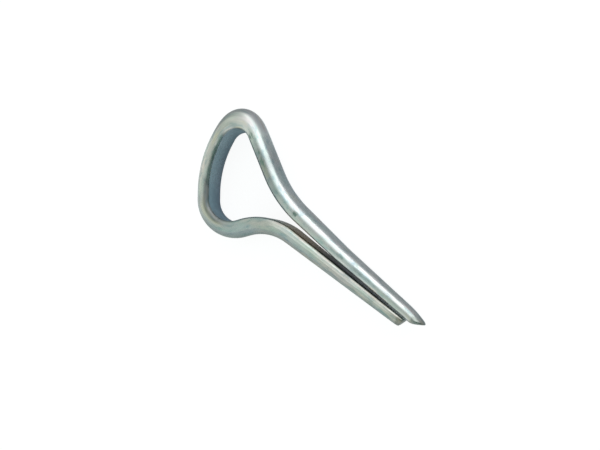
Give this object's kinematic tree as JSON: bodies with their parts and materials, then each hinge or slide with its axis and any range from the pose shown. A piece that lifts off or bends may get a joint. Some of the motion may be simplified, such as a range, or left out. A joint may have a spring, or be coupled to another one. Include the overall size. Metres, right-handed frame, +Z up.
{
  "type": "cotter pin",
  "caption": "Split pin bent from half-round steel wire, with a three-cornered eye and close tapered prongs of unequal length that are bent apart to lock in a cross hole.",
  "frame": {"origin": "middle of the shank at the throat of the eye, halfway through the wire's width", "axes": "+X along the shank towards the tips, +Y in the plane of the pin to the long prong's side, +Z up, square to the plane of the pin as it lies"},
  "size_m": [0.0381, 0.0158, 0.0046],
  "materials": {
    "zinc_steel": "bright zinc plated, smooth with small nicks"
  },
  "bodies": {
    "root": {"cotter_pin": "zinc_steel"}
  },
  "joints": []
}
